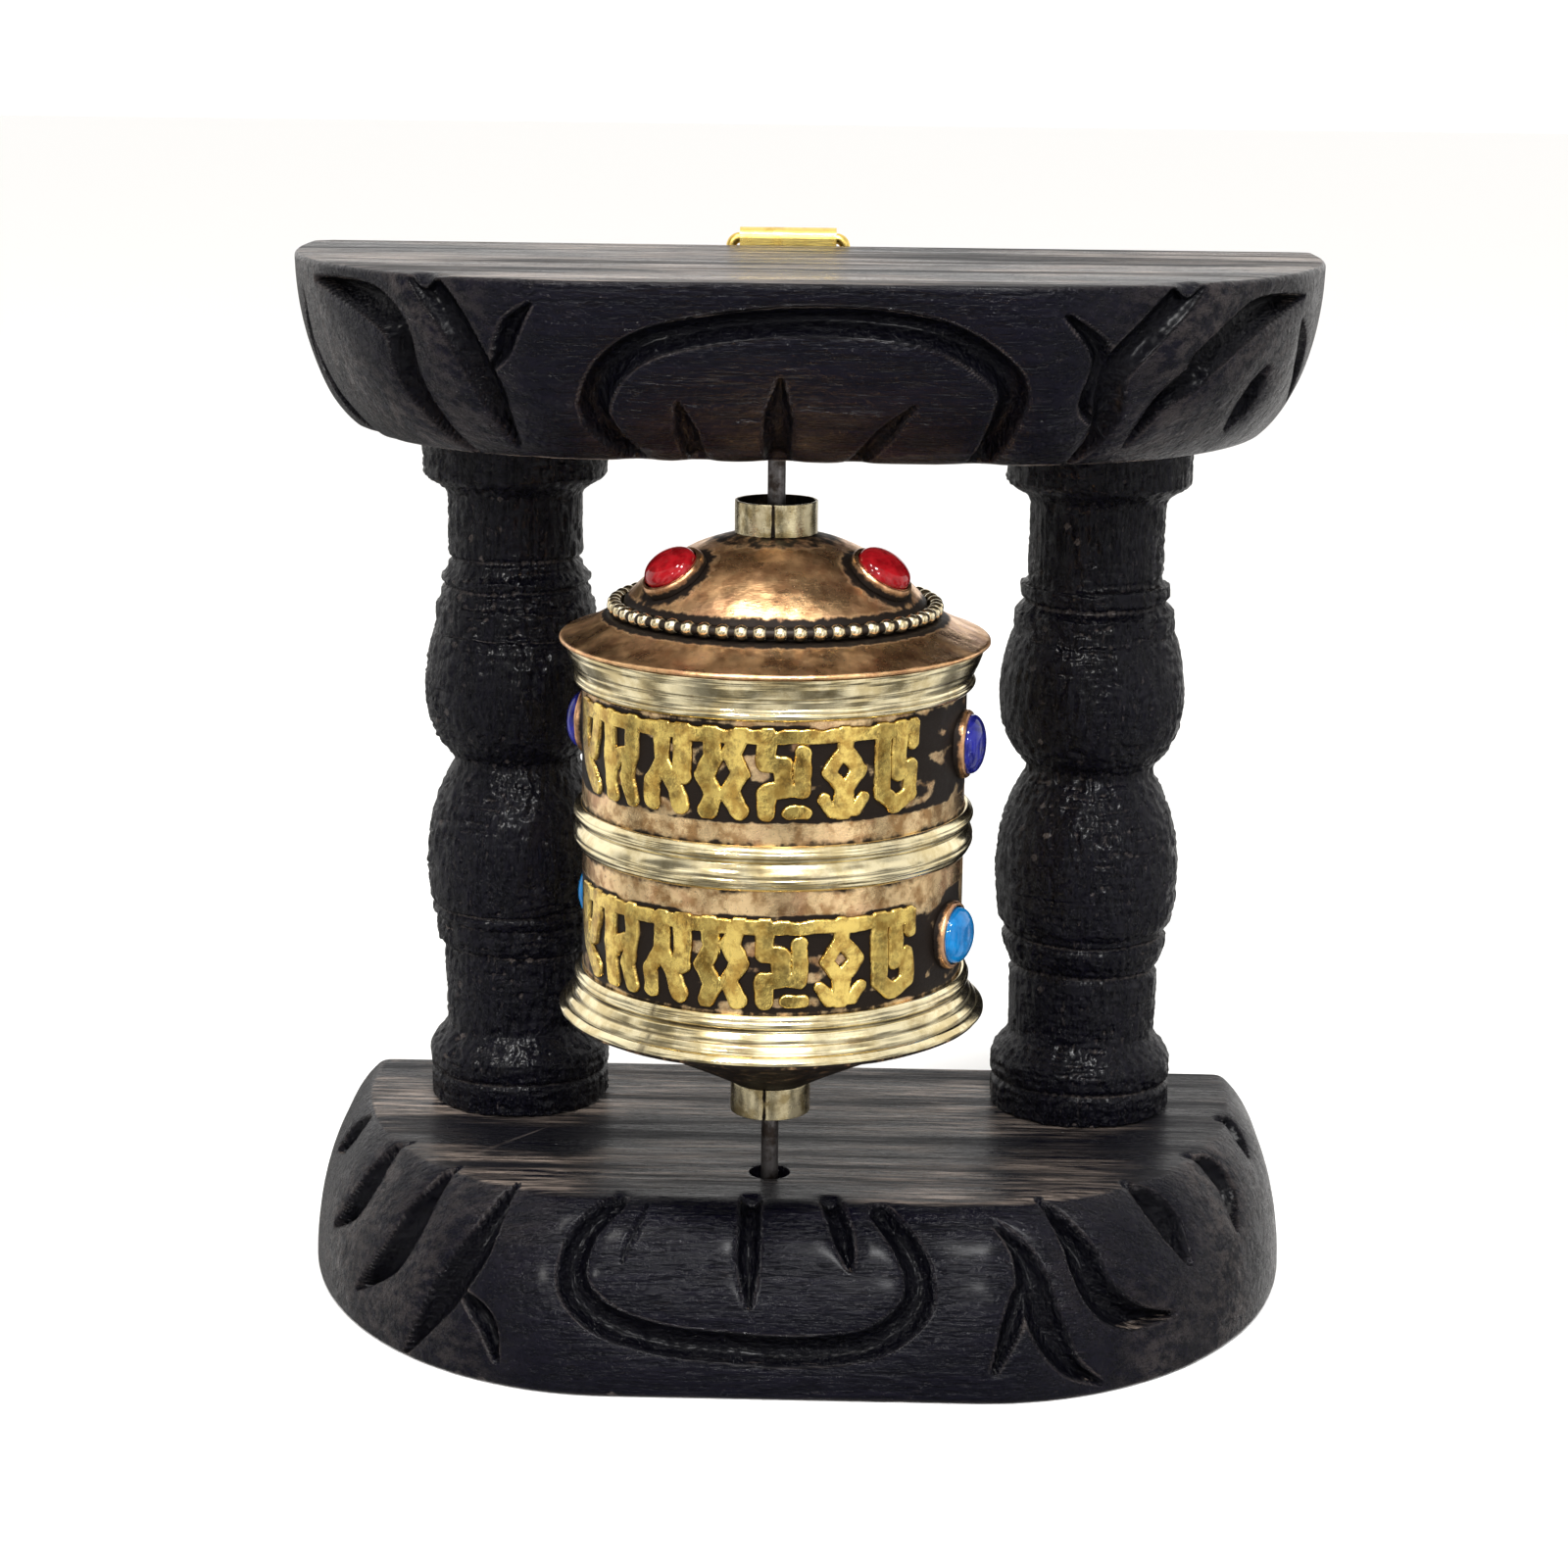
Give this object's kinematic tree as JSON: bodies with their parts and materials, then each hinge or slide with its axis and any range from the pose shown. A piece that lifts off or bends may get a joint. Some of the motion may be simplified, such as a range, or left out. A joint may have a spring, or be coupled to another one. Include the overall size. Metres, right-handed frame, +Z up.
{
  "type": "tabletop and wall prayer wheel",
  "caption": "Copper and brass drum on a steel axle, spinning freely between the carved boards of a small dark wooden stand with turned posts and a hanging ring.",
  "frame": {"origin": "on the drum's axle line, at the plane of the base's underside", "axes": "+X to the right seen from the front, +Y to the flat back of the stand, +Z up along the axle"},
  "size_m": [0.151, 0.0829, 0.1576],
  "materials": {
    "dark_wood": "black-stained hardwood, semi-gloss, carved and turned",
    "dark_steel": "dark drawn steel rod, lightly tarnished",
    "hanger_brass": "bright yellow brass sheet and wire",
    "paper_roll": "plain wound paper",
    "bead_brass": "pale polished beaded wire with dark patina between the beads",
    "fret_brass": "golden brass sheet, pierced and filed",
    "pale_brass": "pale spun brass, polished",
    "bezel_copper": "copper cup, hand-rubbed with dark patina",
    "copper": "beaten copper sheet with brown patina",
    "coral": "polished red coral or its substitute",
    "lapis": "polished deep blue lapis",
    "turquoise": "polished sky-blue turquoise"
  },
  "bodies": {
    "stand": {"base_board": "dark_wood", "top_board": "dark_wood", "left_post": "dark_wood", "right_post": "dark_wood", "pivot_cup": "dark_steel", "hanger_strap": "hanger_brass", "hanger_screws": "hanger_brass"},
    "drum": {"axle": "dark_steel", "barrel": "copper", "beaded_ring": "bead_brass", "bottom_cap": "copper", "coral_bezel_1": "bezel_copper", "coral_bezel_2": "bezel_copper", "coral_bezel_3": "bezel_copper", "coral_stone_1": "coral", "coral_stone_2": "coral", "coral_stone_3": "coral", "cornice": "pale_brass", "lapis_bezel_1": "bezel_copper", "lapis_bezel_2": "bezel_copper", "lapis_stone_1": "lapis", "lapis_stone_2": "lapis", "lid": "copper", "lower_ferrule": "pale_brass", "lower_fret_strip_1": "fret_brass", "lower_fret_strip_2": "fret_brass", "mantra_scroll": "paper_roll", "middle_band": "pale_brass", "skirt": "pale_brass", "turquoise_bezel_1": "bezel_copper", "turquoise_bezel_2": "bezel_copper", "turquoise_stone_1": "turquoise", "turquoise_stone_2": "turquoise", "upper_ferrule": "pale_brass", "upper_fret_strip_1": "fret_brass", "upper_fret_strip_2": "fret_brass"},
    "ring": {"hanger_ring": "hanger_brass"}
  },
  "joints": [
    {"name": "drum_spin", "type": "hinge", "parent": "stand", "child": "drum", "pos_m": [0, 0, 0.0775], "axis": [0, 0, 1], "continuous": true},
    {"name": "ring_swing", "type": "hinge", "parent": "stand", "child": "ring", "pos_m": [0, 0.05092, 0.156], "axis": [1, 0, 0], "range_deg": [0, 262]}
  ]
}
